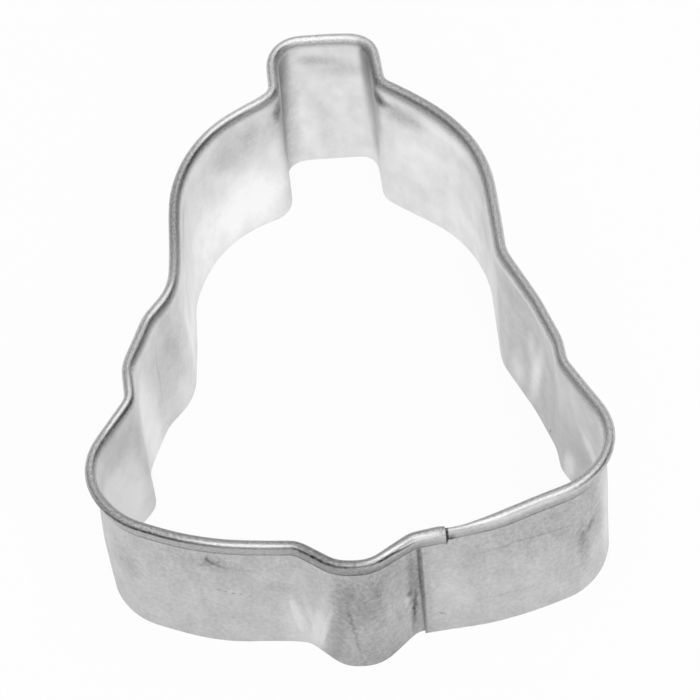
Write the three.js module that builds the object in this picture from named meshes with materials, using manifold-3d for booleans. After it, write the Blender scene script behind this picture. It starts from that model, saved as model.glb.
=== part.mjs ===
// A bell-shaped cookie cutter: one strip of tinplate with a rolled hem, bent to a bell and lapped at a seam.
// Millimetres. X runs across the bell, Y from the clapper to the handle, Z up from the cutting edge.
import * as THREE from 'three';
import Module from 'manifold-3d';
import { mergeVertices } from 'three/addons/utils/BufferGeometryUtils.js';

// Strip
const BAND_HEIGHT = 22.2;
const SHEET = 0.25;

// Hem rolled outwards along the upper edge
const HEM_WIDTH = 1.05;
const HEM_DROP = 1.55;

// Lap seam to the right of the clapper
const LAP_LENGTH = 2.9;
const LAP_CLEARANCE = 0.08;
const SEAM_SETBACK = 0.2;
const TUCKED_HEM_GAP = 0.1;
const HEM_EASE_LENGTH = 6;

// Spot welds through the lap
const WELD_RADIUS = 0.8;
const WELD_EDGE = 0.1;
const WELD_CLEARANCE = 0.1;
const MIDDLE_WELD_HEIGHT = 10.4;
const LOWER_WELD_HEIGHT = 3.2;

// Bends of the band's inner face as [x, y, radius]; the sides differ a little, as in a strip bent by hand
const RIGHT_HANDLE_CORNER = [4.4, 28.7, 1.7];
const RIGHT_HANDLE_ROOT = [4.8, 23.4, 1.5];
const RIGHT_SHOULDER = [14.8, 16.4, 17];
const RIGHT_WAIST = [15.5, 3.0, 4.5];
const RIGHT_FLARE = [18.5, -2.9, 5];
const RIGHT_NOTCH_EDGE = [20.25, -7.3, 1.7];
const RIGHT_NOTCH = [20.5, -9.7, 1.7];
const RIGHT_LIP = [25.0, -17.3, 6];
const RIGHT_LIP_END = [22.8, -23.0, 6];
const RIGHT_SKIRT = [11.5, -26.2, 18];
const RIGHT_CLAPPER_ROOT = [5.0, -26.5, 1.7];
const RIGHT_CLAPPER_NOSE = [1.2, -29.4, 3.7];

const LEFT_HANDLE_CORNER = [-4.8, 28.8, 2.3];
const LEFT_HANDLE_ROOT = [-4.6, 23.2, 1.8];
const LEFT_SHOULDER = [-14.6, 17.1, 17];
const LEFT_WAIST = [-15.6, 1.6, 6];
const LEFT_FLARE = [-18.4, -1.5, 4];
const LEFT_NOTCH_EDGE = [-20.45, -6.5, 2.4];
const LEFT_NOTCH = [-20.2, -10.2, 1.9];
const LEFT_LIP = [-25.0, -17.1, 5.2];
const LEFT_LIP_END = [-22.7, -22.3, 7.3];
const LEFT_SKIRT = [-14.7, -25.7, 26];
const LEFT_CLAPPER_ROOT = [-5.5, -26.6, 1.8];
const LEFT_CLAPPER_NOSE = [-2.1, -29.3, 3.1];

// Fineness of the faceted surfaces
const BEND_STEP = THREE.MathUtils.degToRad(12);
const RUN_STEP = 4;
const HEM_STEPS = 6;
const WELD_SIDES = 20;

// At the lap the end that comes past the clapper lies inside, and its hem covers the other end's tucked hem.
const layerStep = SHEET + LAP_CLEARANCE;
const tuckedHemWidth = 2 * SHEET + TUCKED_HEM_GAP;
const coverHemWidth = tuckedHemWidth + 2 * layerStep;
const tightestOutwardBend = Math.max(HEM_WIDTH, coverHemWidth) + SHEET;

const tinplate = { color: 0xc6c6c5, roughness: 0.34, metalness: 1 };
const weldMetal = { color: 0xb4b4b3, roughness: 0.5, metalness: 1 };

const wasm = await Module();
wasm.setup();

// One bend of the path: its corner, radius, tangent points and turn. No arc reaches past half of either side.
function makeBend([x, y, wantedRadius], before, after) {
  const corner = new THREE.Vector2(x, y);
  const back = new THREE.Vector2(before[0], before[1]).sub(corner);
  const ahead = new THREE.Vector2(after[0], after[1]).sub(corner);
  const reach = Math.min(back.length(), ahead.length()) / 2;
  back.normalize();
  ahead.normalize();
  const turn = Math.asin(THREE.MathUtils.clamp(ahead.cross(back), -1, 1));
  const interior = Math.acos(THREE.MathUtils.clamp(back.dot(ahead), -1, 1));
  const turnsOutward = turn < 0;
  const fairRadius = turnsOutward ? Math.max(wantedRadius, tightestOutwardBend) : wantedRadius;
  const tangent = Math.min(fairRadius / Math.tan(interior / 2), reach);
  const radius = tangent * Math.tan(interior / 2);
  const entry = corner.clone().addScaledVector(back, tangent);
  const exit = corner.clone().addScaledVector(ahead, tangent);
  return { radius, entry, exit, angle: Math.PI - interior, turnsOutward, direction: back.negate() };
}

// A place on the path: its point and the outward normal there, which is to the right of the travel.
function makeStation(point, direction) {
  return { point, normal: new THREE.Vector2(direction.y, -direction.x) };
}

// Stations round one bend, from its entry to its exit.
function bendStations(bend) {
  const stepsByTurn = Math.ceil(bend.angle / BEND_STEP);
  const stepsByLength = Math.ceil((bend.angle * bend.radius) / RUN_STEP);
  const steps = Math.max(stepsByTurn, stepsByLength, 1);
  const side = bend.turnsOutward ? -1 : 1;
  const toCentre = new THREE.Vector2(-bend.direction.y, bend.direction.x).multiplyScalar(side * bend.radius);
  const centre = bend.entry.clone().add(toCentre);
  const stations = [];
  for (let step = 0; step <= steps; step += 1) {
    const angle = (side * bend.angle * step) / steps;
    const point = bend.entry.clone().rotateAround(centre, angle);
    const direction = bend.direction.clone().rotateAround(new THREE.Vector2(), angle);
    stations.push(makeStation(point, direction));
  }
  return stations;
}

// Stations along the straight run between two places, without its first point.
function runStations(from, to) {
  const steps = Math.max(Math.ceil(from.distanceTo(to) / RUN_STEP), 1);
  const direction = to.clone().sub(from).normalize();
  const stations = [];
  for (let step = 1; step <= steps; step += 1) {
    stations.push(makeStation(from.clone().lerp(to, step / steps), direction));
  }
  return stations;
}

// Stations along an open path of corners, with a bend at each corner between its ends.
function pathStations(corners) {
  const start = new THREE.Vector2(corners[0][0], corners[0][1]);
  const end = new THREE.Vector2(corners.at(-1)[0], corners.at(-1)[1]);
  const inner = corners.slice(1, -1);
  const bends = inner.map((corner, index) => makeBend(corner, corners[index], corners[index + 2]));
  const stations = [makeStation(start, bends[0].direction)];
  for (const bend of bends) {
    const run = runStations(stations.at(-1).point, bend.entry);
    stations.push(...run.slice(0, -1), ...bendStations(bend));
  }
  stations.push(...runStations(stations.at(-1).point, end));
  return stations;
}

// Cross-section of the strip as [outward, up] points: wall, roll of the hem, its hanging leaf, and back.
function stripSection(hemWidth, top) {
  const radius = hemWidth / 2;
  const rollHeight = top - radius;
  const leafEnd = BAND_HEIGHT - HEM_DROP;
  const rollPoint = (rollRadius, step) => {
    const angle = (Math.PI * step) / HEM_STEPS;
    return [radius - rollRadius * Math.cos(angle), rollHeight + rollRadius * Math.sin(angle)];
  };
  const section = [[0, 0]];
  for (let step = 0; step <= HEM_STEPS; step += 1) {
    section.push(rollPoint(radius, step));
  }
  section.push([hemWidth, leafEnd], [hemWidth - SHEET, leafEnd]);
  for (let step = HEM_STEPS; step >= 0; step -= 1) {
    section.push(rollPoint(radius - SHEET, step));
  }
  section.push([SHEET, 0]);
  return section;
}

// Full size of the hem away from the lap, easing to its size at the lap's end.
function easedHem(distanceFromEnd, hemWidthAtEnd, topAtEnd) {
  const easeStart = LAP_LENGTH + SEAM_SETBACK;
  const share = THREE.MathUtils.smoothstep(distanceFromEnd, easeStart, easeStart + HEM_EASE_LENGTH);
  const hemWidth = THREE.MathUtils.lerp(hemWidthAtEnd, HEM_WIDTH, share);
  const top = THREE.MathUtils.lerp(topAtEnd, BAND_HEIGHT, share);
  return { hemWidth, top };
}

// Distances along the path, one for each station.
function distancesAlong(stations) {
  const distances = [0];
  for (let index = 1; index < stations.length; index += 1) {
    distances.push(distances[index - 1] + stations[index].point.distanceTo(stations[index - 1].point));
  }
  return distances;
}

// Closed surface swept through the stations, one section at each.
function sweepStrip(stations) {
  const distances = distancesAlong(stations);
  const length = distances.at(-1);
  const positions = [];
  const sections = stations.map((station, index) => {
    const fromTucked = distances[index];
    const fromCover = length - distances[index];
    const nearTucked = fromTucked < fromCover;
    const hem = nearTucked
      ? easedHem(fromTucked, tuckedHemWidth, BAND_HEIGHT - layerStep)
      : easedHem(fromCover, coverHemWidth, BAND_HEIGHT);
    const section = stripSection(hem.hemWidth, hem.top);
    for (const [outward, up] of section) {
      const place = station.point.clone().addScaledVector(station.normal, outward);
      positions.push(place.x, place.y, up);
    }
    return section;
  });
  const count = sections[0].length;
  const indices = [];
  for (let ring = 0; ring + 1 < stations.length; ring += 1) {
    for (let corner = 0; corner < count; corner += 1) {
      const here = ring * count + corner;
      const next = ring * count + ((corner + 1) % count);
      indices.push(here, next, next + count, here, next + count, here + count);
    }
  }
  const capOf = (section) => {
    const contour = section.map(([outward, up]) => new THREE.Vector2(outward, up));
    return THREE.ShapeUtils.triangulateShape(contour, []);
  };
  const lastRing = (stations.length - 1) * count;
  for (const [a, b, c] of capOf(sections[0])) {
    indices.push(a, b, c);
  }
  for (const [a, b, c] of capOf(sections.at(-1))) {
    indices.push(lastRing + a, lastRing + c, lastRing + b);
  }
  const geometry = new THREE.BufferGeometry();
  geometry.setAttribute('position', new THREE.Float32BufferAttribute(positions, 3));
  geometry.setIndex(indices);
  return geometry;
}

// Solid for a boolean cut, from a closed geometry.
function toSolid(geometry) {
  const bare = geometry.clone();
  bare.deleteAttribute('normal');
  bare.deleteAttribute('uv');
  const merged = mergeVertices(bare);
  const vertProperties = new Float32Array(merged.attributes.position.array);
  const triVerts = new Uint32Array(merged.index.array);
  return new wasm.Manifold(new wasm.Mesh({ numProp: 3, vertProperties, triVerts }));
}

// Geometry of a solid after its cuts.
function toGeometry(solid) {
  const mesh = solid.getMesh();
  const geometry = new THREE.BufferGeometry();
  geometry.setAttribute('position', new THREE.BufferAttribute(mesh.vertProperties, 3));
  geometry.setIndex(new THREE.BufferAttribute(mesh.triVerts, 1));
  geometry.computeVertexNormals();
  return geometry;
}

// Where the lap lies: its direction along the skirt, its outward normal and the two strip ends.
function placeSeam() {
  const root = new THREE.Vector2(RIGHT_CLAPPER_ROOT[0], RIGHT_CLAPPER_ROOT[1]);
  const skirtRun = new THREE.Vector2(RIGHT_SKIRT[0], RIGHT_SKIRT[1]).sub(root);
  const along = skirtRun.clone().normalize();
  const outward = new THREE.Vector2(along.y, -along.x);
  const innerRoot = root.clone().addScaledVector(outward, -layerStep);
  const innerCorner = [innerRoot.x, innerRoot.y, RIGHT_CLAPPER_ROOT[2]];
  const bend = makeBend(innerCorner, RIGHT_CLAPPER_NOSE, innerRoot.clone().add(skirtRun).toArray());
  const outerStart = bend.exit.clone().addScaledVector(along, SEAM_SETBACK);
  outerStart.addScaledVector(outward, layerStep);
  const innerEnd = bend.exit.clone().addScaledVector(along, SEAM_SETBACK + LAP_LENGTH);
  const weldPlace = outerStart.clone().addScaledVector(along, LAP_LENGTH / 2);
  weldPlace.addScaledVector(outward, (SHEET - layerStep) / 2);
  return { innerCorner, outerStart, innerEnd, weldPlace, outward };
}

// Corners of the whole strip, from its outer end by the right side, handle and left side to its inner end.
function stripCorners(seam) {
  const rightSide = [
    RIGHT_SKIRT,
    RIGHT_LIP_END,
    RIGHT_LIP,
    RIGHT_NOTCH,
    RIGHT_NOTCH_EDGE,
    RIGHT_FLARE,
    RIGHT_WAIST,
    RIGHT_SHOULDER,
    RIGHT_HANDLE_ROOT,
    RIGHT_HANDLE_CORNER,
  ];
  const leftSide = [
    LEFT_HANDLE_CORNER,
    LEFT_HANDLE_ROOT,
    LEFT_SHOULDER,
    LEFT_WAIST,
    LEFT_FLARE,
    LEFT_NOTCH_EDGE,
    LEFT_NOTCH,
    LEFT_LIP,
    LEFT_LIP_END,
    LEFT_SKIRT,
  ];
  const clapper = [LEFT_CLAPPER_ROOT, LEFT_CLAPPER_NOSE, RIGHT_CLAPPER_NOSE, seam.innerCorner];
  return [seam.outerStart.toArray(), ...rightSide, ...leftSide, ...clapper, seam.innerEnd.toArray()];
}

// Turns a shape made round the Y axis so that its axis points out through the lap.
function lapTurn(seam) {
  const outward = new THREE.Vector3(seam.outward.x, seam.outward.y, 0);
  return new THREE.Quaternion().setFromUnitVectors(new THREE.Vector3(0, 1, 0), outward);
}

function makeBandStrip(seam, weldHeights) {
  let strip = toSolid(sweepStrip(pathStations(stripCorners(seam))));
  const holeRadius = WELD_RADIUS + WELD_CLEARANCE;
  const holeLength = 4 * layerStep;
  for (const height of weldHeights) {
    const hole = new THREE.CylinderGeometry(holeRadius, holeRadius, holeLength, WELD_SIDES);
    hole.applyQuaternion(lapTurn(seam));
    hole.translate(seam.weldPlace.x, seam.weldPlace.y, height);
    strip = strip.subtract(toSolid(hole));
  }
  const mesh = new THREE.Mesh(toGeometry(strip), new THREE.MeshStandardMaterial(tinplate));
  mesh.name = 'band_strip';
  return mesh;
}

function makeWeldSpot(name, seam, height) {
  const half = (SHEET + layerStep) / 2;
  const profile = [
    new THREE.Vector2(0, -half),
    new THREE.Vector2(WELD_RADIUS - WELD_EDGE, -half),
    new THREE.Vector2(WELD_RADIUS, WELD_EDGE - half),
    new THREE.Vector2(WELD_RADIUS, half - WELD_EDGE),
    new THREE.Vector2(WELD_RADIUS - WELD_EDGE, half),
    new THREE.Vector2(0, half),
  ];
  const geometry = new THREE.LatheGeometry(profile, WELD_SIDES);
  const mesh = new THREE.Mesh(geometry, new THREE.MeshStandardMaterial(weldMetal));
  mesh.name = name;
  mesh.quaternion.copy(lapTurn(seam));
  mesh.position.set(seam.weldPlace.x, seam.weldPlace.y, height);
  return mesh;
}

const seam = placeSeam();
const cutter = new THREE.Group();
cutter.add(makeBandStrip(seam, [MIDDLE_WELD_HEIGHT, LOWER_WELD_HEIGHT]));
cutter.add(makeWeldSpot('weld_spot_middle', seam, MIDDLE_WELD_HEIGHT));
cutter.add(makeWeldSpot('weld_spot_lower', seam, LOWER_WELD_HEIGHT));

// The origin is under the middle of the whole cutter, on the plane of the cutting edge.
const middle = new THREE.Box3().setFromObject(cutter).getCenter(new THREE.Vector3());
cutter.position.set(-middle.x, -middle.y, 0);

export default cutter;
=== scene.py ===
import math

import bpy
import numpy as np
from mathutils import Matrix, Vector, noise


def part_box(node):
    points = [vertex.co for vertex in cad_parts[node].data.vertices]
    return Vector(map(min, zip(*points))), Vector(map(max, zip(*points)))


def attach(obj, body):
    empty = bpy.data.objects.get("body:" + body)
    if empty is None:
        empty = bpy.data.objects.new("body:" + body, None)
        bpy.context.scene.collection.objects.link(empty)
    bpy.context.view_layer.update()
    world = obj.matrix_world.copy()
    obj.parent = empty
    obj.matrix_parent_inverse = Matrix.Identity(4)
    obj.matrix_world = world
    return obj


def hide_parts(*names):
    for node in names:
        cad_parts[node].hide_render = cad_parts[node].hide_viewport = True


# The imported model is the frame: metres, X across the bell, Y from the clapper to the handle, Z up.
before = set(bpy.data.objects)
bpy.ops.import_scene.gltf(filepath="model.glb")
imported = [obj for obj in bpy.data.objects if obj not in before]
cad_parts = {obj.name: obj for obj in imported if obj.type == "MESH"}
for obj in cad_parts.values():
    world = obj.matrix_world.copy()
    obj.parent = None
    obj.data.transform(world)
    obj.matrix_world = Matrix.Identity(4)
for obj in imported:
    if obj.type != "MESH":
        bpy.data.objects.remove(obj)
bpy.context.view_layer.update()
MM = 0.001

# Strip sizes in millimetres, as in the solids
BAND_HEIGHT = 22.2
SHEET = 0.25
HEM_WIDTH = 1.05
HEM_DROP = 1.55
LAP_LENGTH = 2.9
LAP_CLEARANCE = 0.08
SEAM_SETBACK = 0.2
TUCKED_HEM_GAP = 0.1
HEM_EASE_LENGTH = 6.0
LAYER_STEP = SHEET + LAP_CLEARANCE
TUCKED_HEM_WIDTH = 2 * SHEET + TUCKED_HEM_GAP
COVER_HEM_WIDTH = TUCKED_HEM_WIDTH + 2 * LAYER_STEP
TIGHTEST_OUTWARD_BEND = COVER_HEM_WIDTH + SHEET
WELD_RADIUS = 0.8

# Bends of the band's inner face as (x, y, radius), from the handle down to the clapper
RIGHT_BENDS = {
    "handle corner": (4.4, 28.7, 1.7),
    "handle root": (4.8, 23.4, 1.5),
    "shoulder": (14.8, 16.4, 17.0),
    "waist": (15.5, 3.0, 4.5),
    "flare": (18.5, -2.9, 5.0),
    "notch edge": (20.25, -7.3, 1.7),
    "notch": (20.5, -9.7, 1.7),
    "lip": (25.0, -17.3, 6.0),
    "lip end": (22.8, -23.0, 6.0),
    "skirt": (11.5, -26.2, 18.0),
    "clapper root": (5.0, -26.5, 1.7),
    "clapper nose": (1.2, -29.4, 3.7),
}
LEFT_BENDS = {
    "handle corner": (-4.8, 28.8, 2.3),
    "handle root": (-4.6, 23.2, 1.8),
    "shoulder": (-14.6, 17.1, 17.0),
    "waist": (-15.6, 1.6, 6.0),
    "flare": (-18.4, -1.5, 4.0),
    "notch edge": (-20.45, -6.5, 2.4),
    "notch": (-20.2, -10.2, 1.9),
    "lip": (-25.0, -17.1, 5.2),
    "lip end": (-22.7, -22.3, 7.3),
    "skirt": (-14.7, -25.7, 26.0),
    "clapper root": (-5.5, -26.6, 1.8),
    "clapper nose": (-2.1, -29.3, 3.1),
}

# Where the bent sheet leans or bulges: centre x, y, height, reach in plan, reach in height, outward push.
# Round the rim, then round the wall and its foot, each down the right side and up the left.
RIM = BAND_HEIGHT
FOOT = 0.0
PUSHES = {
    "handle rim": (-0.5, 28.9, RIM, 3.5, 9.0, 0.1),
    "right handle rim": (3.4, 28.9, RIM, 1.2, 9.0, -0.18),
    "right shoulder rim": (7.6, 21.9, RIM, 2.6, 9.0, 0.22),
    "right shoulder side rim": (12.0, 18.2, RIM, 2.4, 9.0, -0.1),
    "right side rim": (14.9, 12.3, RIM, 3.0, 9.0, -0.13),
    "right notch rim": (20.2, -7.4, RIM, 2.4, 9.0, -0.08),
    "right lip rim": (24.6, -17.8, RIM, 2.6, 9.0, 0.2),
    "right lip end rim": (21.5, -22.0, RIM, 2.2, 9.0, -0.13),
    "right skirt rim": (19.6, -23.4, RIM, 5.6, 9.0, -0.74),
    "tucked rim": (9.6, -26.0, RIM, 1.2, 6.0, 0.16),
    "clapper root rim": (5.4, -25.7, RIM, 1.9, 9.0, 0.42),
    "clapper rim": (-2.2, -28.3, RIM, 2.2, 9.0, -0.28),
    "left skirt rim": (-8.0, -26.0, RIM, 3.0, 9.0, 0.1),
    "left flare rim": (-18.9, -2.6, RIM, 3.0, 9.0, -0.1),
    "left waist rim": (-15.4, 5.4, RIM, 2.0, 9.0, -0.07),
    "left side rim": (-15.1, 10.6, RIM, 2.4, 9.0, 0.1),
    "left shoulder rim": (-8.6, 21.2, RIM, 3.0, 9.0, 0.05),
    "left root rim": (-6.2, 22.5, RIM, 1.2, 9.0, -0.14),
    "right lip foot": (22.6, -21.4, FOOT, 2.6, 8.0, -0.13),
    "right skirt side foot": (16.5, -24.5, FOOT, 2.5, 8.0, 0.14),
    "right skirt foot": (9.8, -25.8, FOOT, 2.6, 8.0, -0.18),
    "clapper foot": (-1.0, -28.8, FOOT, 3.6, 9.0, 0.19),
    "left skirt foot": (-7.6, -25.8, FOOT, 3.5, 9.0, -0.25),
    "left lip side": (-23.2, -20.6, 9.0, 2.6, 5.0, 0.3),
    "left notch foot": (-20.5, -10.2, FOOT, 1.4, 7.0, -0.28),
    "left flare foot": (-19.9, -4.3, FOOT, 4.0, 9.0, 0.16),
    "left side foot": (-14.9, 12.4, FOOT, 2.0, 8.0, 0.16),
    "left shoulder foot": (-10.5, 20.0, FOOT, 4.0, 9.0, 0.2),
    "left handle root foot": (-6.2, 22.8, FOOT, 1.1, 7.0, -0.36),
    "left handle foot": (-4.6, 28.0, FOOT, 1.1, 9.0, 0.42),
}
# Slight waves all over the sheet
WAVE_SIZE = 5.0
WAVE_DEPTH = 0.035
# Where the hem's leaf is drawn in against the wall: centre x, y and reach in plan
TIGHT_HEMS = {"left lip": (-24.4, -17.4, 4.2), "right lip": (24.3, -17.8, 3.6)}
TIGHT_LEAF_GAP = 0.05
TIGHT_LEAF_WIDTH = 2 * SHEET + TIGHT_LEAF_GAP
# Where the leaf reaches further down: centre x, y, reach in plan, extra drop
LONG_LEAVES = {"right skirt": (15.5, -24.8, 5.5, 0.3), "lap": (6.0, -26.0, 3.0, 0.4)}
# The wall leans in under the rim, less where its hem is tucked under the other end
RIM_LEAN = 0.2
LEAN_START = 14.0
TUCKED_LEAN_LOSS = 0.05
# Where it leans in more or less: centre x, y, reach in plan, extra lean
WIDE_LEADS = {
    "right shoulder": (12.5, 18.2, 6.0, 0.17),
    "right side": (15.4, 7.0, 5.0, 0.1),
    "left flare": (-18.6, -2.2, 3.5, 0.2),
    "handle": (0.0, 28.8, 5.0, -0.08),
}
# From there it leads into the roll: turn of the lead and its share of the hem's width
LEAD_TURN = math.radians(35)
LEAD_SHARE = 0.27
# Sideways trim that lays both sides of the rim on the photograph's
PLAN_TRIM = (0.05, -0.02)
# The lap's inner end stops a little short and its hem dips there
INNER_END_TRIM = 0.2
END_DIP = 0.18
END_DIP_LENGTH = 0.7
# Weld spots: the dip in the middle of each face, and its rings as radius and rise over the sheet
WELD_DIP = -0.035
WELD_RINGS = ((0.3, -0.03), (0.55, -0.015), (0.7, 0.012), (WELD_RADIUS, 0.002))

# Fineness of the surfaces, in millimetres and steps
PATH_STEP = 0.25
BEND_SOFTNESS = 0.45
FEWEST_BEND_STEPS = 4
WALL_ROWS = 34
ROLL_STEPS = 18
LEAF_ROWS = 5
LEAD_STEPS = 8
WELD_SIDES = 32
SHARP_ANGLE = math.radians(40)

# Tin: share of light that the sheet sends back, what is lost on its outside and on the hem, and roughness
TIN = 0.79
OUTSIDE_DULLNESS = 0.05
HEM_DULLNESS = 0.1
WALL_ROUGHNESS = 0.36
HEM_ROUGHNESS = 0.24
GRAIN_ROUGHNESS = 0.04
# The noises of the tin: scale along the strip, up and across its faces, detail and roughness
GRAIN_NOISE = ((2.2, 1.4, 0), 6, 0.78)
LINE_NOISE = ((0.2, 3.0, 0), 4, 0.55)
SPECK_NOISE = ((2.3, 2.6, 0), 1, 0.55)
CLOUD_NOISE = ((0.5, 0.25, 0), 3, 0.55)
FLECK_NOISE = ((2.4, 7.0, 0), 5, 0.85)
# The range of a noise that counts, and the darkening at its low end and lightening at its high end
NOISE_RANGE = (0.3, 0.7)
GRAIN_DEPTH = 0.085
LINE_DEPTH = 0.01
FLECK_DEPTH = 0.2
INSIDE_CLOUD_DEPTH = 0.05
OUTSIDE_CLOUD_DEPTH = 0.045
# Specks: the range of their noise and their darkening. Grain, lines and specks are weaker on the inside.
SPECK_RANGE = (0.71, 0.8)
SPECK_DEPTH = 0.12
INSIDE_SHARE = 0.24
# The leaf's cut edge: width and darkening, partly the cut edge's own tone and partly painted shadow under the
# leaf
LEAF_EDGE_WIDTH = 0.45
LEAF_EDGE_DULLNESS_AND_SHADOW = 0.34
# Relief of the hem's flecks against that of the lines, and strength and depth of both
FLECK_RELIEF = 7.0
RELIEF_STRENGTH = 0.25
RELIEF_DEPTH = 0.03
# Welds: scale and detail of the mottle, and what it makes of the share of light sent back and the roughness
WELD_MOTTLE = {"Scale": 1800, "Detail": 4}
WELD_TIN = (0.72, 0.8)
WELD_ROUGHNESS = (0.34, 0.4)

# Faces of the strip, as numbers that run from its inside over the hem to its outside, the reach of a mark
# from its face and the reach of the hem's look from the hem
INSIDE = -1.0
HEM = 1.0
OUTSIDE = 3.0
MARK_REACH = 0.5
HEM_REACH = 1.6
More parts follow.
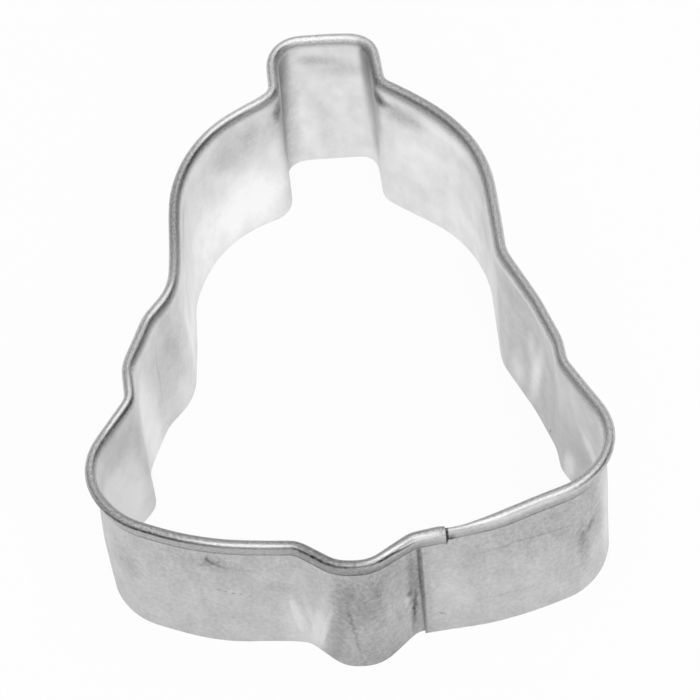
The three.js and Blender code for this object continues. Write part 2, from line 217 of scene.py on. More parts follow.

# Soft and ragged marks on each face: marks of use, and painted shade and painted highlights that stand in for
# light and reflections. Each gives distance along the strip, height, half length, half height, tilt in
# degrees and darkening, which lightens when negative. On the hem the height is the distance from the leaf's
# end, up and round the roll.
MARKS = {
    INSIDE: {
        "pale right lip": (25.6, 12.5, 2.0, 4.5, -20, -0.07),
        "pale lip streak": (26.2, 12.0, 0.9, 3.8, -35, -0.24),
        "dull right lip": (28.4, 8.8, 2.6, 5.0, 0, 0.14),
        "pale lip corner": (30.1, 2.8, 1.1, 4.2, 10, -0.34),
        "lip line": (32.0, 9.0, 0.2, 10.0, 3, 0.08),
        "dull right notch": (33.4, 10.0, 2.4, 12.0, 0, 0.06),
        "nick": (35.3, 1.3, 0.15, 0.6, 25, 0.4),
        "pale right streak": (38.2, 7.5, 1.2, 9.5, 12, -0.3),
        "pale right flank": (38.8, 12.0, 1.2, 4.0, 0, -0.17),
        # painted shade: the right flank darkened where it mirrors floor shaded by the walls
        "painted shade right flank": (39.5, 11.0, 10.5, 40.0, 0, 0.21),
        "painted shade right flank top": (41.0, 18.0, 4.5, 5.0, 0, 0.06),
        "pale right foot": (42.0, 3.5, 1.6, 5.0, 8, -0.18),
        "dull right waist": (45.4, 10.0, 1.6, 13.0, 0, 0.08),
        # painted shade under the bead of the rim
        "painted shade under the right side rim": (52.6, 18.6, 3.4, 3.2, 0, 0.11),
        "dull right side": (53.8, 11.5, 3.6, 7.0, 20, 0.13),
        "pale right shoulder foot": (60.0, 4.0, 4.5, 4.5, 0, -0.05),
        # painted light: lightens the shading where the wall leads into the roll
        "painted light under the right shoulder rim": (61.5, 20.0, 5.5, 1.4, 0, -0.1),
        "pale right shoulder": (64.0, 12.0, 3.0, 5.0, 0, -0.06),
        "pale right root": (66.5, 11.0, 3.0, 6.0, 0, -0.06),
        "right shoulder cloud": (66.8, 18.4, 3.2, 2.4, -25, 0.28),
        # painted shade in the right corner at the handle's root and down the handle's right side
        "painted shade right corner tail": (68.4, 19.5, 1.0, 0.6, 20, 0.2),
        "painted shade right corner spot": (69.6, 19.5, 1.2, 1.5, 0, 0.6),
        "painted shade right handle side": (72.3, 13.0, 2.6, 24.0, 0, 0.16),
        "handle cloud": (77.3, 17.2, 2.4, 2.2, 0, 0.14),
        "pale handle patch": (77.5, 12.8, 1.6, 1.2, 0, -0.05),
        "handle band": (79.6, 7.0, 0.9, 8.0, 0, 0.05),
        "handle smudge": (79.8, 18.9, 2.6, 1.2, 6, 0.2),
        "pale handle streak": (81.5, 7.5, 0.8, 5.5, 0, -0.06),
        # painted shade down the handle's left side and in the left corner at its root
        "painted shade left handle side": (85.3, 13.0, 3.2, 24.0, 0, 0.52),
        "painted shade left corner rim": (88.4, 18.5, 1.2, 4.0, 0, 0.14),
        "painted shade left corner spot": (88.4, 19.0, 0.8, 2.0, 0, 0.32),
        "pale left root": (92.0, 6.0, 4.5, 7.0, 0, -0.18),
        "left shoulder cloud": (93.5, 17.4, 6.0, 4.5, -5, 0.2),
        "pale left shoulder": (97.5, 5.0, 8.0, 7.0, 0, -0.15),
        # painted shade under the bead of the rim
        "painted shade under the left side rim": (106.0, 19.0, 4.5, 2.8, 0, 0.13),
        "pale left side": (108.5, 5.0, 4.0, 6.5, -15, -0.09),
        # painted highlight on the inner wall
        "pale side glint": (110.0, 17.2, 0.5, 1.6, -25, -0.14),
        "pale left waist edge": (111.6, 9.0, 1.2, 8.0, -8, -0.14),
        "dull left waist": (115.8, 14.0, 2.6, 8.0, 8, 0.08),
        "pale left waist foot": (116.4, 3.5, 3.0, 4.5, 0, -0.08),
        # painted shade: the left flank darkened where it mirrors floor shaded by the walls
        "painted shade left flank": (117.5, 13.0, 6.0, 24.0, 0, 0.12),
        "left flank line": (118.6, 12.5, 0.25, 9.0, 0, 0.09),
        "dull left notch": (127.0, 9.0, 1.7, 11.0, -6, 0.12),
        "dull left lip top": (129.6, 17.5, 5.5, 5.0, 0, 0.12),
    },
    HEM: {
        "blot beside the end": (3.25, 0.4, 0.5, 0.7, 0, 0.35),
        # painted highlight on the roll
        "painted highlight right hem": (10.0, 1.7, 9.0, 0.7, 0, -0.12),
        "dull right leaf": (11.0, 0.3, 12.0, 0.9, 0, 0.2),
        # painted shade: dark reflection along the roll's limb
        "painted shade right lip limb": (22.3, 1.1, 4.0, 0.4, 0, 0.25),
        "dull right shoulder hem": (63.5, 1.9, 8.5, 0.9, 0, 0.11),
        # painted highlights on the roll
        "painted highlight handle hem": (79.0, 2.0, 8.5, 1.2, 0, -0.3),
        "painted highlight left shoulder hem": (91.5, 1.9, 6.5, 1.0, 0, -0.22),
        "dull left side hem": (105.5, 1.6, 7.5, 4.0, 0, 0.17),
        "dull left hem": (148.0, 1.0, 16.0, 4.0, 0, 0.16),
        # painted shade: the clapper's hem darker where it mirrors the dark front
        "painted shade clapper hem": (162.0, 1.0, 6.5, 4.0, 0, 0.26),
        "dull lap leaf": (169.5, 0.4, 6.5, 0.9, 0, 0.28),
    },
    OUTSIDE: {
        # painted shade beside the step where the outer layer ends
        "painted shade seam edge": (0.3, 10.0, 0.9, 14.0, 0, 0.12),
        "pale seam foot": (2.8, 7.5, 2.4, 6.0, 0, -0.07),
        "blot on the wall": (3.2, 20.0, 0.45, 0.8, 0, 0.3),
        "lower scratch": (8.3, 5.4, 4.2, 0.22, -3, 0.09),
        "upper scratch": (9.8, 14.8, 7.4, 0.24, -8, 0.12),
        # painted shade: the upper wall darker where it mirrors the floor further out
        "painted shade upper right skirt": (11.0, 20.0, 13.0, 12.0, 0, 0.15),
        "skirt smudge": (14.0, 17.0, 1.2, 0.9, 0, 0.07),
        "dull right skirt": (15.0, 10.0, 3.0, 8.0, 0, 0.06),
        "stain core": (16.4, 10.5, 0.4, 2.6, 0, 0.06),
        "stain": (16.6, 8.8, 1.0, 6.0, 0, 0.18),
        "stain branch": (17.7, 11.7, 0.6, 1.2, -25, 0.3),
        "dull right edge": (18.4, 13.0, 2.4, 9.0, 0, 0.1),
        "pale lip": (20.8, 10.0, 1.6, 16.0, 0, -0.18),
        "upright smudge": (140.7, 12.2, 1.9, 3.8, 0, 0.12),
        # painted shade: the upper wall darker where it mirrors the floor further out
        "painted shade upper left skirt": (148.5, 20.0, 15.0, 12.0, 0, 0.11),
        "scuff foot": (149.0, 16.0, 0.6, 0.35, 20, 0.13),
        "scuff core": (149.5, 17.3, 0.3, 0.8, 10, 0.26),
        "scuff": (149.7, 16.8, 1.3, 0.7, 35, 0.16),
        "scuff haze": (150.2, 16.5, 3.2, 1.7, -8, 0.08),
        "scuff branch": (150.4, 16.4, 0.9, 0.3, -35, 0.16),
        "scuff tail": (152.2, 15.9, 1.8, 0.3, -12, 0.09),
        "smudge by the bend": (155.9, 12.2, 2.0, 1.3, 0, 0.08),
        # painted reflection: pale streaks of light on the bend by the clapper
        "pale bend": (158.2, 4.0, 3.0, 7.5, -4, -0.16),
        "pale bend edge": (160.4, 9.0, 0.9, 9.5, -9, -0.12),
        "clapper crease": (163.7, 7.2, 0.22, 6.0, 5, 0.17),
        # painted shade: the clapper darker where it mirrors the dark front
        "painted shade clapper": (165.3, 11.0, 5.8, 30.0, -4, 0.15),
        "painted shade upper clapper": (165.4, 15.0, 6.0, 7.0, 0, 0.12),
        "clapper short streak": (166.3, 13.0, 0.4, 4.5, 8, 0.07),
        "clapper foot": (166.5, 0.8, 4.0, 1.8, 0, 0.07),
        "pale clapper side": (167.6, 10.0, 1.2, 7.0, 0, -0.1),
        "clapper streak": (168.0, 9.0, 0.5, 8.0, 8, 0.08),
        "rubbed patch": (169.5, 8.4, 0.5, 1.4, 0, -0.22),
        "rubbed spot": (169.8, 6.2, 0.45, 1.0, 0, -0.18),
        "rubbed nick": (169.9, 9.6, 0.45, 0.9, 20, 0.3),
        # painted shade in the corner beside the lap's step
        "painted shade seam side": (170.3, 12.0, 1.0, 12.0, 0, 0.16),
        "rubbed line": (170.4, 6.0, 0.36, 5.8, -5, 0.28),
        "seam spot": (171.2, 2.2, 0.6, 1.0, 0, 0.06),
    },
}
# Straight and crisper marks, laid out in the same way; most are painted highlights, painted shade and painted
# shadows
EDGES = {
    INSIDE: {
        "pale left flank": (121.7, 6.5, 2.9, 15.0, -6, -0.2),
        "pale left lip": (133.0, 4.8, 6.4, 15.0, 0, -0.23),
    },
    HEM: {
        # painted shadow in the gap beside the covering hem's end
        "gap beside the end": (2.78, 1.2, 0.28, 6.0, 0, 0.65),
        # painted highlight on the roll
        "right hem glint": (10.5, 1.75, 10.0, 0.32, 0, -0.24),
        # painted reflection: dark line along the roll's inner side
        "painted dark line right shoulder hem": (63.5, 2.36, 9.0, 0.24, 0, 0.2),
        # painted shade: dark reflection along the roll's limb
        "painted shade handle hem limb": (79.0, 1.5, 9.0, 0.36, 0, 0.2),
        # painted highlight on the roll
        "left shoulder glint": (94.0, 2.0, 4.6, 0.26, 0, -0.24),
        # painted reflection: dark line along the roll's inner side
        "painted dark line left shoulder hem": (96.5, 2.36, 8.0, 0.24, 0, 0.26),
        # painted highlight on the roll
        "left flare glint": (116.0, 2.0, 3.4, 0.28, 0, -0.34),
        # painted reflection: dark line along the roll's inner side
        "painted dark line left notch hem": (128.0, 2.38, 4.6, 0.24, 0, 0.3),
        # painted highlight on the roll
        "left notch glint": (128.2, 2.0, 4.6, 0.26, 0, -0.5),
        # painted reflection: dark line between the roll and the leaf
        "painted dark line left lip hem": (143.0, 1.3, 8.0, 0.2, 0, 0.2),
        "painted dark line left hem": (146.0, 1.3, 17.0, 0.22, 0, 0.18),
        # painted highlight on the roll
        "left hem glint": (153.5, 1.58, 8.0, 0.19, 0, -0.38),
        # painted reflection: dark lines between the roll and the leaf
        "painted dark line clapper hem": (161.5, 1.46, 5.5, 0.17, 0, 0.24),
        "painted dark line lap hem": (168.2, 1.42, 3.4, 0.2, 0, 0.42),
        # painted shade: dark reflection along the roll's limb
        "painted shade lap hem limb": (168.5, 2.4, 7.0, 0.3, 0, 0.14),
        # painted highlight on the roll
        "lap hem glint": (170.0, 1.8, 6.0, 0.3, 0, -0.52),
        # painted shadow in the gap at the covering hem's end
        "painted shadow at the hem end": (174.5, 1.2, 0.26, 6.0, 0, 0.75),
    },
    OUTSIDE: {
        "seam shade": (0.0, 14.0, 0.42, 22.0, 0, 0.38),
        # painted shadow in the gap at the hem's end, down onto the wall
        "painted shadow on the wall by the hem end": (2.73, 19.6, 0.28, 1.4, 0, 0.6),
        "first dot": (150.1, 11.2, 0.3, 0.2, 0, 0.26),
        "second dot": (150.8, 11.0, 0.24, 0.17, 0, 0.24),
        "third dot": (151.5, 10.7, 0.26, 0.2, 0, 0.26),
        "fourth dot": (152.2, 10.6, 0.2, 0.17, 0, 0.24),
        "fifth dot": (153.1, 10.2, 0.24, 0.17, 0, 0.2),
        # painted reflection: light and dark streaks on the bend by the clapper
        "pale bend streak": (157.3, 6.4, 0.55, 5.2, 5, -0.14),
        "painted shade in the bend": (158.4, 5.8, 0.5, 5.6, 7, 0.09),
        "pale bend side": (159.5, 3.8, 1.2, 6.5, -11, -0.08),
        "pale bend rim": (160.6, 5.6, 0.4, 7.0, -11, -0.12),
        "clapper bend edge": (161.9, 5.6, 1.3, 13.0, -10, 0.12),
        # painted shadow on the wall under the clapper's leaf
        "painted shadow under the clapper leaf": (165.0, 20.4, 8.0, 1.8, 0, 0.14),
        # painted shade and painted shadow along the step where the outer layer ends
        "seam haze": (170.6, 9.0, 1.2, 16.0, 0, 0.12),
        "seam": (171.7, 15.0, 0.85, 19.0, 0, 0.38),
    },
}
# Where a mark begins to fade and where it ends, as shares of its half sizes
MARK_FADE = (0.1, 1.25)
EDGE_FADE = (0.4, 1)
# Ragged marks: noise and distance by which their places wander, and their strength at each end of the grain
WANDER_NOISE = ((0.9, 1.1, 0), 4, 0.55)
WANDER = 0.9
BREAKUP_RANGE = (0.2, 0.8)
BREAKUP_STRENGTHS = (1.35, 0.65)

# Camera, from the rim, the cutting edge and the upright lines of the photograph; its focal length and width
# are in pixels
CAMERA_PLACE = (8.893, -235.128, 426.6)
CAMERA_PITCH = math.radians(60.5)
CAMERA_YAW = math.radians(2.05)
CAMERA_ROLL = math.radians(-6.2)
PHOTO_FOCAL_LENGTH = 4828.8
PHOTO_WIDTH = 700
SENSOR = 36.0
LENS = SENSOR * PHOTO_FOCAL_LENGTH / PHOTO_WIDTH
CLIP_START = 0.01

# Light: a softbox over the camera, a little to the right, in a grey room. The lamp lights the floor; the tin
# mirrors the glow that the room has there, given by direction as centre, half sizes and tilt in degrees.
SOFTBOX_PLACE = (0.18, -0.33, 0.61)
SOFTBOX_SIZE = (0.44, 1.35)
SOFTBOX_POWER = 2.0
SOFTBOX_GLOW = 0.85
GLOW_CENTRE = (0.08, -0.27, 0)
GLOW_SIZE = (0.4, 0.8, 10)
GLOW_TILT = -13
GLOW_FADE = (0.65, 1.15)
# The room's grey behind and in front, how far back and forth it changes, and the room's dark corners by
# direction: centre, half sizes and change of light
ROOM_DEPTH = 0.6
ROOM_BACK = 0.52
ROOM_FRONT = 0.44
DARK_CORNERS = {
    "right": ((0.95, -0.12, 0.3), (0.42, 0.5, 0.7), -0.5),
    "left": ((-0.95, 0.3, 0.3), (0.36, 0.6, 0.7), -0.27),
}
CORNER_FADE = (0.4, 1.1)

# Floor: half size in metres, paper, its white to the camera and in the tin, and where the latter rises
FLOOR_REACH = 1.5
PAPER = (0.88, 0.88, 0.88, 1)
FLOOR_WHITE_SEEN = 0.95
FLOOR_WHITE_MIRRORED = 0.9
FLOOR_WHITE_RISE = (-0.034, 0.016)


def unit(vector):
    return vector / np.linalg.norm(vector)


def smoothstep(value, low, high):
    share = np.clip((value - low) / (high - low), 0, 1)
    return share * share * (3 - 2 * share)


def make_bend(corner, before, after):
    """Arc at a corner of the path: entry point, exit point, heading at the entry, signed turn and radius."""
    point = np.array(corner[:2])
    back = np.array(before[:2]) - point
    ahead = np.array(after[:2]) - point
    reach = min(np.linalg.norm(back), np.linalg.norm(ahead)) / 2
    back, ahead = unit(back), unit(ahead)
    side = np.sign(ahead[0] * back[1] - ahead[1] * back[0])
    interior = math.acos(np.clip(back @ ahead, -1, 1))
    radius = max(corner[2], TIGHTEST_OUTWARD_BEND) if side < 0 else corner[2]
    tangent = min(radius / math.tan(interior / 2), reach)
    return {
        "entry": point + back * tangent,
        "exit": point + ahead * tangent,
        "heading": -back,
        "turn": side * (math.pi - interior),
        "radius": tangent * math.tan(interior / 2),
    }


def place_seam():
    """Where the strip's ends lap: along the skirt, with the end that comes past the clapper inside."""
    root = np.array(RIGHT_BENDS["clapper root"][:2])
    run = np.array(RIGHT_BENDS["skirt"][:2]) - root
    along = unit(run)
    outward = np.array([along[1], -along[0]])
    inner_root = root - outward * LAYER_STEP
    inner_corner = (*inner_root, RIGHT_BENDS["clapper root"][2])
    bend = make_bend(inner_corner, RIGHT_BENDS["clapper nose"], inner_root + run)
    return {
        "outer_start": bend["exit"] + along * SEAM_SETBACK + outward * LAYER_STEP,
        "inner_corner": inner_corner,
        "inner_end": bend["exit"] + along * (SEAM_SETBACK + LAP_LENGTH - INNER_END_TRIM),
        "outward": outward,
    }


def path_corners(seam):
    """Corners of the strip from its outer end, up the right side and down the left, to its inner end."""
    sides = [name for name in RIGHT_BENDS if not name.startswith("clapper")]
    right = [RIGHT_BENDS[name] for name in reversed(sides)]
    left = [LEFT_BENDS[name] for name in sides]
    clapper = [LEFT_BENDS["clapper root"], LEFT_BENDS["clapper nose"], RIGHT_BENDS["clapper nose"]]
    return [seam["outer_start"], *right, *left, *clapper, seam["inner_corner"], seam["inner_end"]]


def arc_points(bend):
    """Closely spaced points of a bend, after its entry."""
    heading = math.atan2(bend["heading"][1], bend["heading"][0])
    side = math.copysign(1, bend["turn"])
    centre = bend["entry"] + side * bend["radius"] * np.array([-math.sin(heading), math.cos(heading)])
    steps = max(round(abs(bend["turn"]) * bend["radius"] / PATH_STEP), FEWEST_BEND_STEPS)
    points = []
    for step in range(1, steps + 1):
        angle = heading + bend["turn"] * step / steps
        points.append(centre + side * bend["radius"] * np.array([math.sin(angle), -math.cos(angle)]))
    return points


def line_points(start, end):
    """Closely spaced points of a straight run, after its start."""
    steps = max(round(np.linalg.norm(end - start) / PATH_STEP), 1)
    return [start + (end - start) * step / steps for step in range(1, steps + 1)]


def sample_path(corners):
    """Closely spaced points along the path, arcs and straight runs alike."""
    points = [np.array(corners[0][:2])]
    for before, corner, after in zip(corners, corners[1:], corners[2:]):
        bend = make_bend(corner, before, after)
        points += line_points(points[-1], bend["entry"])
        points += arc_points(bend)
    points += line_points(points[-1], np.array(corners[-1][:2]))
    return np.array(points)


def distances_along(points):
    return np.concatenate([[0], np.cumsum(np.linalg.norm(np.diff(points, axis=0), axis=1))])


def evenly_spaced(points, step):
    """The same line with points a fixed distance apart."""
    lengths = distances_along(points)
    targets = np.linspace(0, lengths[-1], round(lengths[-1] / step) + 1)
    return np.stack([np.interp(targets, lengths, points[:, axis]) for axis in range(2)], axis=1)


def softened(points, reach):
    """The line with its bends eased, as in sheet bent by hand; its ends keep their places and directions."""
    spread = int(4 * reach / PATH_STEP)
    weights = np.exp(-0.5 * (np.arange(-spread, spread + 1) * PATH_STEP / reach) ** 2)
    weights /= weights.sum()
    lead = 2 * points[0] - points[spread:0:-1]
    tail = 2 * points[-1] - points[-2:-spread - 2:-1]
    padded = np.concatenate([lead, points, tail])
    return np.stack([np.convolve(padded[:, axis], weights, "valid") for axis in range(2)], axis=1)


def right_normals(points):
    """Unit normals to the right of the travel."""
    tangents = np.gradient(points, axis=0)
    tangents /= np.linalg.norm(tangents, axis=1)[:, None]
    return np.stack([tangents[:, 1], -tangents[:, 0]], axis=1)


def strip_path(seam):
    """Points of the band's inner face from the outer end to the inner end, with its outward normals."""
    points = softened(evenly_spaced(sample_path(path_corners(seam)), PATH_STEP), BEND_SOFTNESS)
    return points, right_normals(points)


def section_skin(hem_width, leaf_width, leaf_end, lean, top):
    """One skin of the cross-section as (outward, up) points: up the wall, over the roll, down the leaf."""
    lead_reach = LEAD_SHARE * (hem_width + lean)
    lead_length = lead_reach * LEAD_TURN / (1 - math.cos(LEAD_TURN))
    radius = (hem_width + lean - lead_reach) / (1 + math.cos(LEAD_TURN))
    roll_place, roll_height = hem_width - radius, top - radius
    lead_start = roll_height + radius * math.sin(LEAD_TURN) - lead_length * math.sin(LEAD_TURN) / LEAD_TURN
    rows = np.linspace(0, lead_start, WALL_ROWS, endpoint=False)
    wall = np.column_stack([-lean * smoothstep(rows, LEAN_START, lead_start), rows])
    turns = np.linspace(0, LEAD_TURN, LEAD_STEPS, endpoint=False)
    bend = np.column_stack([1 - np.cos(turns), np.sin(turns)])
    lead = bend * lead_length / LEAD_TURN + (-lean, lead_start)
    angles = np.linspace(LEAD_TURN, math.pi, ROLL_STEPS + 1)
    roll = np.column_stack([roll_place - radius * np.cos(angles), roll_height + radius * np.sin(angles)])
    shares = np.linspace(0, 1, LEAF_ROWS + 1)[1:]
    leaf_places = hem_width + (leaf_width - hem_width) * shares ** 2
    leaf_heights = roll_height + (leaf_end - roll_height) * shares
    return np.concatenate([wall, lead, roll, np.column_stack([leaf_places, leaf_heights])])


def strip_section(*sizes):
    """Closed cross-section: along one skin of the sheet and back along the other."""
    skin = section_skin(*sizes)
    back = skin + SHEET * right_normals(skin)
    return np.concatenate([skin, back[::-1]])


def section_faces():
    """For each point of the section, the face of the strip that it lies on; the lead runs into the hem."""
    wall = [INSIDE] * WALL_ROWS
    lead = np.linspace(INSIDE, HEM, LEAD_STEPS)
    hem = [HEM] * (ROLL_STEPS + 1 + LEAF_ROWS)
    return np.concatenate([wall, lead, hem, [OUTSIDE] * (len(wall) + len(lead) + len(hem))])


def nearness(points, x, y, reach):
    """How near each point of the path is to a place, from 0 to 1, falling off at the reach."""
    return np.exp(-0.5 * (np.hypot(*(points - (x, y)).T) / reach) ** 4)


def hem_tightness(points):
    """How far the leaf is drawn in at each point of the path, from 0 to 1."""
    return np.max([nearness(points, *place) for place in TIGHT_HEMS.values()], axis=0)


def local_extras(points, spots):
    """The extra amounts of the spots round each point of the path."""
    return sum(extra * nearness(points, x, y, reach) for x, y, reach, extra in spots.values())


def lap_shares(lengths):
    """How far the hem is tucked under at the outer end, and covers at the inner end, from 0 to 1."""
    ease_start = LAP_LENGTH + SEAM_SETBACK
    ease_end = ease_start + HEM_EASE_LENGTH
    tucked = 1 - smoothstep(lengths, ease_start, ease_end)
    cover = 1 - smoothstep(lengths[-1] - lengths, ease_start, ease_end)
    return tucked, cover


def section_sizes(points):
    """Hem width, leaf width, leaf end, lean and top of the section at each point of the path."""
    lengths = distances_along(points)
    tucked, cover = lap_shares(lengths)
    widths = HEM_WIDTH + tucked * (TUCKED_HEM_WIDTH - HEM_WIDTH) + cover * (COVER_HEM_WIDTH - HEM_WIDTH)
    leaf_widths = widths + hem_tightness(points) * (TIGHT_LEAF_WIDTH - widths)
    leaf_ends = BAND_HEIGHT - HEM_DROP - local_extras(points, LONG_LEAVES)
    leans = RIM_LEAN - TUCKED_LEAN_LOSS * tucked + local_extras(points, WIDE_LEADS)
    end_dips = END_DIP * smoothstep(lengths, lengths[-1] - END_DIP_LENGTH, lengths[-1])
    tops = BAND_HEIGHT - tucked * LAYER_STEP - end_dips
    return zip(widths, leaf_widths, leaf_ends, leans, tops)


def strip_rings(points, normals):
    """Places of the strip's vertices before it is pushed about, one ring for each point of the path."""
    rings = []
    for point, normal, sizes in zip(points, normals, section_sizes(points)):
        section = strip_section(*sizes)
        rings.append(np.column_stack([point + section[:, :1] * normal, section[:, 1]]))
    rings = np.array(rings)
    low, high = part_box("band_strip")
    corners = rings.reshape(-1, 3)[:, :2]
    rings[:, :, :2] += np.array((low + high) / 2)[:2] / MM - (corners.min(0) + corners.max(0)) / 2
    rings[:, :, :2] += PLAN_TRIM
    return rings


def push_outward(rings, normals):
    """Leans, bulges and slight waves of the bent sheet, along the outward normals."""
    amounts = np.zeros(rings.shape[:2])
    for x, y, height, plan_reach, height_reach, push in PUSHES.values():
        plan = np.hypot(rings[:, :, 0] - x, rings[:, :, 1] - y) / plan_reach
        rise = (rings[:, :, 2] - height) / height_reach
        amounts += push * np.exp(-0.5 * (plan ** 2 + rise ** 2))
    for index in np.ndindex(*amounts.shape):
        amounts[index] += WAVE_DEPTH * noise.noise(Vector(rings[index]) / WAVE_SIZE)
    rings[:, :, :2] += amounts[:, :, None] * normals[:, None, :]


def make_mesh(name, vertices, faces):
    """A smoothly shaded mesh."""
    mesh = bpy.data.meshes.new(name)
    mesh.from_pydata(vertices, [], faces)
    mesh.polygons.foreach_set("use_smooth", [True] * len(mesh.polygons))
    return mesh


def strip_faces(ring_count, count):
    """Faces between neighbouring rings, and one across each end of the strip."""
    faces = []
    for ring in range(ring_count - 1):
        for corner in range(count):
            here = ring * count + corner
            following = ring * count + (corner + 1) % count
            faces.append((here, following, following + count, here + count))
    faces.append(tuple(range(count - 1, -1, -1)))
    faces.append(tuple((ring_count - 1) * count + corner for corner in range(count)))
    return faces


def add_strip_map(mesh, rings, lengths):
    """The unrolled strip as UV map."""
    count = rings.shape[1]
    girth = np.linalg.norm(np.diff(rings[0], axis=0, append=rings[0][:1]), axis=1)
    around = np.concatenate([[0], np.cumsum(girth)[:-1]])
    corners = np.empty(len(mesh.loops), dtype=np.int32)
    mesh.loops.foreach_get("vertex_index", corners)
    along = lengths[corners // count] / lengths[-1]
    across = around[corners % count] / lengths[-1]
    layer = mesh.uv_layers.new(name="strip")
    layer.data.foreach_set("uv", np.column_stack([along, across]).ravel())


def leaf_distances(rings):
    """Distance of each vertex from the leaf's end, up and round the roll, alike on both skins."""
    half = rings.shape[1] // 2
    skin = rings[:, half - 1::-1]
    steps = np.linalg.norm(np.diff(skin, axis=1), axis=2)
    distances = np.pad(np.cumsum(steps, axis=1), ((0, 0), (1, 0)))
    return np.concatenate([distances[:, ::-1], distances], axis=1)


def add_places(mesh, name, lengths, heights):
    """An attribute that holds each vertex's distance along the strip, height and face."""
    places = np.empty((*heights.shape, 3))
    places[:, :, 0] = lengths[:, None]
    places[:, :, 1] = heights
    places[:, :, 2] = section_faces()
    attribute = mesh.attributes.new(name, "FLOAT_VECTOR", "POINT")
    attribute.data.foreach_set("vector", places.ravel())


def strip_mesh(name, rings, lengths):
    """A closed mesh through the rings. Its attributes "sheet" and "hem" are in millimetres.

    The first has heights above the floor, the second has distances from the leaf's end.
    """
    mesh = make_mesh(name, (rings.reshape(-1, 3) * MM).tolist(), strip_faces(*rings.shape[:2]))
    add_strip_map(mesh, rings, lengths)
    add_places(mesh, "sheet", lengths, rings[:, :, 2])
    add_places(mesh, "hem", lengths, leaf_distances(rings))
    mesh.set_sharp_from_angle(angle=SHARP_ANGLE)
    mesh.update()
    return mesh


def make_object(name, mesh, material):
    piece = bpy.data.objects.new(name, mesh)
    bpy.context.collection.objects.link(piece)
    piece.data.materials.append(material)
    return piece


def make_material(name):
    """A new material with its node tree."""
    material = bpy.data.materials.new(name)
    material.use_nodes = True
    return material, material.node_tree


def add_node(tree, kind, inputs=None, **settings):
    """A node with its settings made and its inputs set or linked."""
    node = tree.nodes.new(kind)
    for name, value in settings.items():
        setattr(node, name, value)
    for name, value in (inputs or {}).items():
        if isinstance(value, bpy.types.NodeSocket):
            tree.links.new(value, node.inputs[name])
        else:
            node.inputs[name].default_value = value
    return node


def add_maths(tree, operation, *values):
    node = add_node(tree, "ShaderNodeMath", dict(enumerate(values)), operation=operation)
    return node.outputs["Value"]


def add_vector_maths(tree, operation, *values):
    node = add_node(tree, "ShaderNodeVectorMath", dict(enumerate(values)), operation=operation)
    return node.outputs["Value" if operation == "LENGTH" else "Vector"]


def add_range(tree, value, low, high, to_low, to_high):
    settings = {"Value": value, "From Min": low, "From Max": high, "To Min": to_low, "To Max": to_high}
    return add_node(tree, "ShaderNodeMapRange", settings, interpolation_type="SMOOTHSTEP").outputs["Result"]


def add_noise(tree, places, scale, detail, roughness):
    """Noise of the unrolled strip, stretched by a scale for along, up and face, from 0 to 1."""
    stretched = add_vector_maths(tree, "MULTIPLY", places, scale)
    settings = {"Vector": stretched, "Scale": 1, "Detail": detail, "Roughness": roughness}
    return add_node(tree, "ShaderNodeTexNoise", settings).outputs


def add_swing(tree, value, amount):
    """A noise spread about zero: the amount at its low end, and its opposite at its high end."""
    return add_range(tree, value, *NOISE_RANGE, amount, -amount)


def add_oval(tree, places, centre, sizes, tilt, fade, amount):
    """An oval of a given amount, full in its middle and fading to nothing at its edge."""
    offset = add_vector_maths(tree, "SUBTRACT", places, centre)
    turn = {"Vector": offset, "Angle": -math.radians(tilt)}
    turned = add_node(tree, "ShaderNodeVectorRotate", turn, rotation_type="Z_AXIS").outputs["Vector"]
    shares = add_vector_maths(tree, "DIVIDE", turned, sizes)
    return add_range(tree, add_vector_maths(tree, "LENGTH", shares), *fade, amount, 0)


def add_marks(tree, places, marks, fade):
    """The marks' darkening added up, each an oval on one face of the strip."""
    total = 0.0
    for face, face_marks in marks.items():
        for along, height, half_length, half_height, tilt, darkening in face_marks.values():
            centre = (along, height, face)
            sizes = (half_length, half_height, MARK_REACH)
            oval = add_oval(tree, places[face], centre, sizes, tilt, fade, darkening)
            total = add_maths(tree, "ADD", oval, total)
    return total


def add_wander(tree, places):
    """The places moved about a little, for marks with ragged edges."""
    colours = add_noise(tree, places, *WANDER_NOISE)["Color"]
    moves = add_vector_maths(tree, "SUBTRACT", colours, (0.5, 0.5, 0.5))
    return add_vector_maths(tree, "MULTIPLY_ADD", moves, (WANDER, WANDER, 0), places)


def marks_and_painted_light(tree, sheet, hem, grain):
    """Darkening by all the marks, painted shade and painted highlights among them; the grain breaks up the
    ragged ones.
    """
    straight = {INSIDE: sheet, HEM: hem, OUTSIDE: sheet}
    wandering = add_wander(tree, sheet)
    ragged = {INSIDE: wandering, HEM: add_wander(tree, hem), OUTSIDE: wandering}
    soft = add_marks(tree, ragged, MARKS, MARK_FADE)
    breakup = add_range(tree, grain, *BREAKUP_RANGE, *BREAKUP_STRENGTHS)
    crisp = add_marks(tree, straight, EDGES, EDGE_FADE)
    return add_maths(tree, "MULTIPLY_ADD", soft, breakup, crisp)


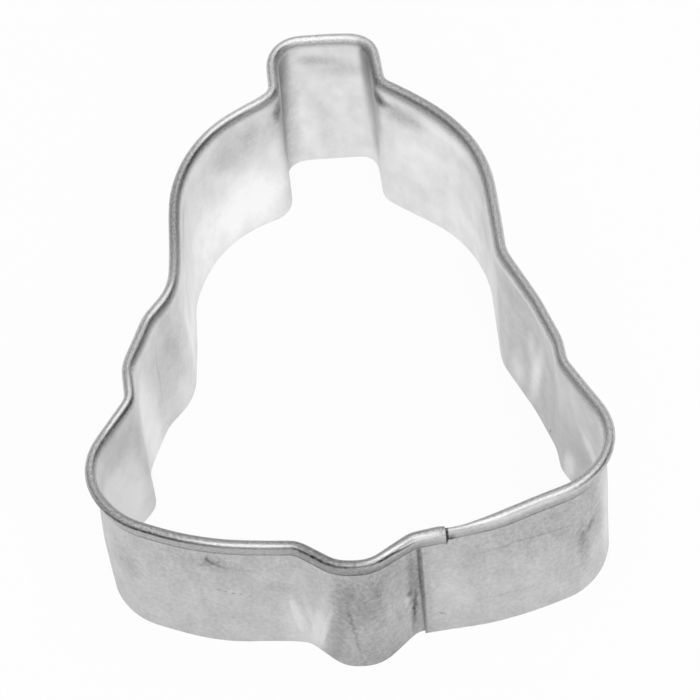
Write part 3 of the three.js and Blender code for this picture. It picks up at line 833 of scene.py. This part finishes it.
def wall_texture(tree, sheet, face, grain, lines):
    """Darkening by the tin's clouds, grain, specks and faint rolling lines."""
    clouds = add_noise(tree, sheet, *CLOUD_NOISE)["Fac"]
    specks = add_noise(tree, sheet, *SPECK_NOISE)["Fac"]
    fine = add_maths(tree, "ADD", add_swing(tree, grain, GRAIN_DEPTH), add_swing(tree, lines, LINE_DEPTH))
    fine = add_maths(tree, "ADD", fine, add_range(tree, specks, *SPECK_RANGE, 0, SPECK_DEPTH))
    strength = add_range(tree, face, INSIDE, OUTSIDE, INSIDE_SHARE, 1)
    cloudiness = add_range(tree, face, INSIDE, OUTSIDE, INSIDE_CLOUD_DEPTH, OUTSIDE_CLOUD_DEPTH)
    dullness = add_range(tree, face, INSIDE, OUTSIDE, 0, OUTSIDE_DULLNESS)
    broad = add_maths(tree, "MULTIPLY_ADD", add_swing(tree, clouds, 1), cloudiness, dullness)
    return add_maths(tree, "MULTIPLY_ADD", fine, strength, broad)


def hem_texture(tree, hem, flecks):
    """Darkening of the rubbed hem: dull, flecked along its length, dark at the leaf's cut edge, partly with
    painted shadow.
    """
    distance = add_node(tree, "ShaderNodeSeparateXYZ", {0: hem}).outputs["Y"]
    edge = add_range(tree, distance, 0, LEAF_EDGE_WIDTH, LEAF_EDGE_DULLNESS_AND_SHADOW, HEM_DULLNESS)
    return add_maths(tree, "ADD", edge, add_swing(tree, flecks, FLECK_DEPTH))


def tinplate_material():
    """Tin-plated sheet with its texture, its marks of use and its painted shade and highlights, smoother and
    duller on the rubbed hem.
    """
    material, tree = make_material("tinplate")
    shader = tree.nodes["Principled BSDF"]
    sheet = add_node(tree, "ShaderNodeAttribute", attribute_name="sheet").outputs["Vector"]
    hem = add_node(tree, "ShaderNodeAttribute", attribute_name="hem").outputs["Vector"]
    face = add_node(tree, "ShaderNodeSeparateXYZ", {0: sheet}).outputs["Z"]
    off_hem = add_maths(tree, "ABSOLUTE", add_maths(tree, "SUBTRACT", face, HEM))
    on_hem = add_range(tree, off_hem, 0, HEM_REACH, 1, 0)
    grain = add_noise(tree, sheet, *GRAIN_NOISE)["Fac"]
    lines = add_noise(tree, sheet, *LINE_NOISE)["Fac"]
    flecks = add_noise(tree, hem, *FLECK_NOISE)["Fac"]
    wall_layer = wall_texture(tree, sheet, face, grain, lines)
    layers = {"Factor": on_hem, "A": wall_layer, "B": hem_texture(tree, hem, flecks)}
    texture = add_node(tree, "ShaderNodeMix", layers).outputs["Result"]
    darkening = add_maths(tree, "ADD", texture, marks_and_painted_light(tree, sheet, hem, grain))
    tree.links.new(add_maths(tree, "SUBTRACT", TIN, darkening), shader.inputs["Base Color"])
    shader.inputs["Metallic"].default_value = 1
    polish = add_range(tree, on_hem, 0, 1, WALL_ROUGHNESS, HEM_ROUGHNESS)
    roughness = add_maths(tree, "ADD", polish, add_swing(tree, grain, -GRAIN_ROUGHNESS))
    tree.links.new(roughness, shader.inputs["Roughness"])
    relief = add_maths(tree, "MULTIPLY_ADD", flecks, add_maths(tree, "MULTIPLY", on_hem, FLECK_RELIEF), lines)
    bump = {"Height": relief, "Strength": RELIEF_STRENGTH, "Distance": RELIEF_DEPTH * MM}
    tree.links.new(add_node(tree, "ShaderNodeBump", bump).outputs["Normal"], shader.inputs["Normal"])
    return material


def weld_material():
    """Pressed and heated tin, mottled."""
    material, tree = make_material("weld")
    shader = tree.nodes["Principled BSDF"]
    place = add_node(tree, "ShaderNodeTexCoord").outputs["Object"]
    mottle = add_node(tree, "ShaderNodeTexNoise", {"Vector": place, **WELD_MOTTLE}).outputs["Fac"]
    tree.links.new(add_range(tree, mottle, *NOISE_RANGE, *WELD_TIN), shader.inputs["Base Color"])
    tree.links.new(add_range(tree, mottle, *NOISE_RANGE, *WELD_ROUGHNESS), shader.inputs["Roughness"])
    shader.inputs["Metallic"].default_value = 1
    return material


def make_strip(seam):
    points, normals = strip_path(seam)
    rings = strip_rings(points, normals)
    push_outward(rings, normals)
    mesh = strip_mesh("band_strip_sheet", rings, distances_along(points))
    piece = make_object("band_strip_sheet", mesh, tinplate_material())
    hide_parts("band_strip")
    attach(piece, "root")


def weld_faces(ring_count):
    """Faces between neighbouring rings of a plug, and fans round the middle of each face."""
    last = 1 + ring_count * WELD_SIDES
    faces = []
    for side in range(WELD_SIDES):
        following = (side + 1) % WELD_SIDES
        faces.append((0, 1 + side, 1 + following))
        faces.append((last, last - WELD_SIDES + following, last - WELD_SIDES + side))
        for near in range(1, last - WELD_SIDES, WELD_SIDES):
            far = near + WELD_SIDES
            faces.append((near + side, far + side, far + following, near + following))
    return faces


def weld_mesh(name, outward):
    """A plug through both layers of the lap, with a dished face on each side."""
    depth = SHEET + LAP_CLEARANCE / 2
    half = [(radius, depth + rise) for radius, rise in WELD_RINGS]
    profile = half + [(WELD_RADIUS, 0.0)] + [(radius, -place) for radius, place in reversed(half)]
    across = Vector((-outward[1], outward[0], 0))
    axis = Vector((outward[0], outward[1], 0))
    up = Vector((0, 0, 1))
    vertices = [axis * (depth + WELD_DIP) * MM]
    for radius, place in profile:
        for side in range(WELD_SIDES):
            angle = 2 * math.pi * side / WELD_SIDES
            arm = across * math.cos(angle) + up * math.sin(angle)
            vertices.append((arm * radius + axis * place) * MM)
    vertices.append(-axis * (depth + WELD_DIP) * MM)
    mesh = make_mesh(name, vertices, weld_faces(len(profile)))
    mesh.update()
    return mesh


def make_welds(seam):
    material = weld_material()
    for node in ("weld_spot_middle", "weld_spot_lower"):
        piece = make_object(node + "_plug", weld_mesh(node + "_plug", seam["outward"]), material)
        low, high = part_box(node)
        piece.location = (low + high) / 2
        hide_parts(node)
        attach(piece, "root")


def make_camera():
    forward = Vector((0, math.cos(CAMERA_PITCH), -math.sin(CAMERA_PITCH)))
    level = Vector((1, 0, 0))
    upward = level.cross(forward)
    right = math.cos(CAMERA_ROLL) * level + math.sin(CAMERA_ROLL) * upward
    up = -math.sin(CAMERA_ROLL) * level + math.cos(CAMERA_ROLL) * upward
    turn = Matrix((right, up, -forward)).transposed()
    data = bpy.data.cameras.new("camera")
    data.sensor_width = SENSOR
    data.lens = LENS
    data.clip_start = CLIP_START
    camera = bpy.data.objects.new("camera", data)
    bpy.context.collection.objects.link(camera)
    place = Matrix.Translation(Vector(CAMERA_PLACE) * MM)
    camera.matrix_world = place @ Matrix.Rotation(CAMERA_YAW, 4, "Z") @ turn.to_4x4()
    bpy.context.scene.camera = camera


def floor_material():
    """White paper: nearly white to the camera, and whiter behind than in front where the tin mirrors it."""
    material, tree = make_material("floor")
    tree.nodes.clear()
    paper = add_node(tree, "ShaderNodeBsdfDiffuse", {"Color": PAPER})
    white = add_node(tree, "ShaderNodeEmission", {"Strength": 1})
    ray = add_node(tree, "ShaderNodeLightPath")
    place = add_node(tree, "ShaderNodeTexCoord").outputs["Object"]
    depth = add_node(tree, "ShaderNodeSeparateXYZ", {0: place}).outputs["Y"]
    glow = add_range(tree, depth, *FLOOR_WHITE_RISE, 0, FLOOR_WHITE_MIRRORED)
    mirrored = add_maths(tree, "MULTIPLY", ray.outputs["Is Glossy Ray"], glow)
    share = add_maths(tree, "MULTIPLY_ADD", ray.outputs["Is Camera Ray"], FLOOR_WHITE_SEEN, mirrored)
    layers = {0: share, 1: paper.outputs[0], 2: white.outputs[0]}
    surface = add_node(tree, "ShaderNodeMixShader", layers).outputs[0]
    add_node(tree, "ShaderNodeOutputMaterial", {"Surface": surface})
    return material


def make_floor():
    mesh = bpy.data.meshes.new("floor")
    near, far = -FLOOR_REACH, FLOOR_REACH
    corners = [(near, near, 0), (far, near, 0), (far, far, 0), (near, far, 0)]
    mesh.from_pydata(corners, [], [(0, 1, 2, 3)])
    make_object("floor", mesh, floor_material())


def make_softbox():
    data = bpy.data.lights.new("softbox", "AREA")
    data.shape = "RECTANGLE"
    data.size, data.size_y = SOFTBOX_SIZE
    data.energy = SOFTBOX_POWER
    lamp = bpy.data.objects.new("softbox", data)
    bpy.context.collection.objects.link(lamp)
    lamp.visible_glossy = False
    lamp.location = SOFTBOX_PLACE
    lamp.rotation_euler = (-Vector(SOFTBOX_PLACE)).to_track_quat("-Z", "Y").to_euler()


def make_room():
    """Grey surroundings for the metal to reflect: a glow overhead, lighter behind, dark low on both sides."""
    world = bpy.data.worlds.new("room")
    world.use_nodes = True
    tree = world.node_tree
    direction = add_node(tree, "ShaderNodeTexCoord").outputs["Generated"]
    depth = add_node(tree, "ShaderNodeSeparateXYZ", {0: direction}).outputs["Y"]
    grey = add_range(tree, depth, -ROOM_DEPTH, ROOM_DEPTH, ROOM_FRONT, ROOM_BACK)
    glow = add_oval(tree, direction, GLOW_CENTRE, GLOW_SIZE, GLOW_TILT, GLOW_FADE, SOFTBOX_GLOW)
    strength = add_maths(tree, "ADD", grey, glow)
    for centre, sizes, amount in DARK_CORNERS.values():
        corner = add_oval(tree, direction, centre, sizes, 0, CORNER_FADE, amount)
        strength = add_maths(tree, "ADD", strength, corner)
    background = tree.nodes["Background"]
    background.inputs["Color"].default_value = (1, 1, 1, 1)
    tree.links.new(add_maths(tree, "MAXIMUM", strength, 0), background.inputs["Strength"])
    bpy.context.scene.world = world


seam = place_seam()
make_strip(seam)
make_welds(seam)
make_floor()
make_softbox()
make_room()
make_camera()
bpy.context.scene.view_settings.view_transform = "Standard"
